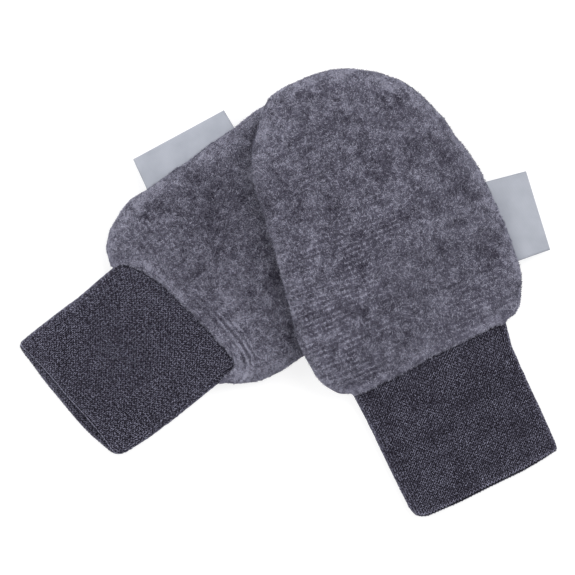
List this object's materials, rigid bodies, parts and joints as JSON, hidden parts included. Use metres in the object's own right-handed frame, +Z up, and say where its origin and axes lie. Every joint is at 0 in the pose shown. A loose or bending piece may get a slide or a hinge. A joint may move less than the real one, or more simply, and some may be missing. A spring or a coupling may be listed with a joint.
{
  "type": "pair of baby mittens",
  "caption": "Pair of thumbless baby mittens in grey brushed fleece with dark jersey cuffs and blank side labels, laid flat, one over the other.",
  "frame": {"origin": "the middle of the pair's footprint, on the surface it lies on", "axes": "+Z up from the surface, +Y towards the fingertips of the mitten on top, which points up and slightly towards -X, +X towards the label side of that mitten"},
  "size_m": [0.1605, 0.1347, 0.0185],
  "materials": {
    "fleece": "brushed, slightly felted mottled grey fleece with a short fuzzy pile",
    "jersey": "fine charcoal heather jersey with pale flecks, matt",
    "satin": "pale bluish grey woven satin tape with a soft sheen, blank"
  },
  "bodies": {
    "root": {"lower_hand_front": "fleece", "lower_hand_back": "fleece", "lower_cuff": "jersey", "lower_label": "satin", "upper_hand_front": "fleece", "upper_hand_back": "fleece", "upper_cuff": "jersey", "upper_label": "satin"}
  },
  "joints": []
}
